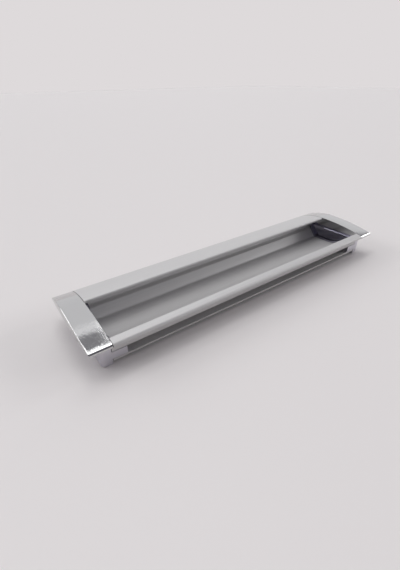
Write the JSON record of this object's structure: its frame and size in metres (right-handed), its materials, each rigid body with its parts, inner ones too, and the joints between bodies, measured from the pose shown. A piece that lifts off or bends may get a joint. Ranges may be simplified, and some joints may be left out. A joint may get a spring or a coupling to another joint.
{
  "type": "recessed pull handle",
  "caption": "Recessed pull handle: an arched aluminium bowl with a broad finger lip, closed at both ends by plated caps, set into a routed pocket in a door or drawer front.",
  "frame": {"origin": "under the middle of the handle, on the plane that the caps' bodies stand on, 11 mm behind the door's face", "axes": "+X along the handle, +Y towards the broad finger lip, +Z out of the door"},
  "size_m": [0.173, 0.0448, 0.0152],
  "materials": {
    "anodised_aluminium": "satin anodised extrusion",
    "plated_cap": "bright chrome plate on die-cast zinc"
  },
  "bodies": {
    "root": {"profile": "anodised_aluminium", "left_cap": "plated_cap", "right_cap": "plated_cap"}
  },
  "joints": []
}
